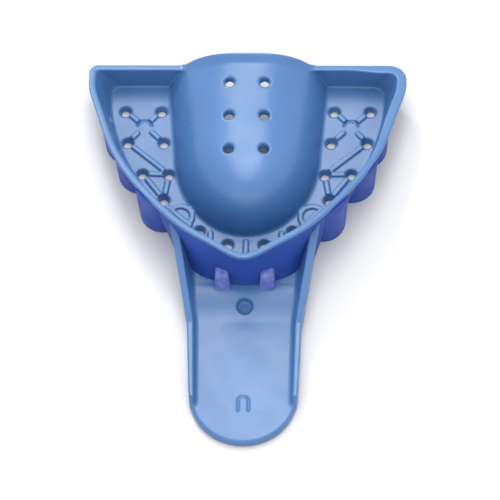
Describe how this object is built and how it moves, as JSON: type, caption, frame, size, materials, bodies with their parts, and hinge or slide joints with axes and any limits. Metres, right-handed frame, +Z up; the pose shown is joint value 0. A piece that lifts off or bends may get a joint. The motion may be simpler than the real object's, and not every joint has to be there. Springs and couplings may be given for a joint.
{
  "type": "dental impression tray",
  "caption": "Perforated full-arch upper dental impression tray with flared rim, domed palate, outside lobes and a broad two-railed handle.",
  "frame": {"origin": "on the resting plane, under the middle of the bounding box", "axes": "+X to the right seen from the handle, +Y from the handle to the rear edge of the tray, +Z up out of the trough"},
  "size_m": [0.0756, 0.0974, 0.0196],
  "materials": {
    "tray_plastic": "smooth satin to gloss moulded polystyrene",
    "cut_plastic": "rough, slightly whitened where the moulding was cut"
  },
  "bodies": {
    "root": {"front_rib_left": "tray_plastic", "front_rib_middle": "tray_plastic", "front_rib_right": "tray_plastic", "handle_plate": "tray_plastic", "handle_rail_left": "tray_plastic", "handle_rail_right": "tray_plastic", "lock_ring_left": "tray_plastic", "lock_ring_right": "tray_plastic", "outer_wall": "tray_plastic", "palate_rear_band": "tray_plastic", "palate_vault": "tray_plastic", "rear_wall_left": "tray_plastic", "rear_wall_right": "tray_plastic", "rib_left_cross": "tray_plastic", "rib_left_diagonal": "tray_plastic", "rib_left_inner_brace": "tray_plastic", "rib_left_mid_inner": "tray_plastic", "rib_left_mid_outer": "tray_plastic", "rib_left_outer_brace": "tray_plastic", "rib_left_rear_inner": "tray_plastic", "rib_left_rear_outer": "tray_plastic", "rib_right_cross": "tray_plastic", "rib_right_diagonal": "tray_plastic", "rib_right_inner_brace": "tray_plastic", "rib_right_mid_inner": "tray_plastic", "rib_right_mid_outer": "tray_plastic", "rib_right_outer_brace": "tray_plastic", "rib_right_rear_inner": "tray_plastic", "rib_right_rear_outer": "tray_plastic", "rim_lip": "tray_plastic", "root_lug_left": "cut_plastic", "root_lug_right": "cut_plastic", "side_lobe_left_1": "tray_plastic", "side_lobe_left_2": "tray_plastic", "side_lobe_left_3": "tray_plastic", "side_lobe_right_1": "tray_plastic", "side_lobe_right_2": "tray_plastic", "side_lobe_right_3": "tray_plastic", "trough_floor": "tray_plastic"}
  },
  "joints": []
}
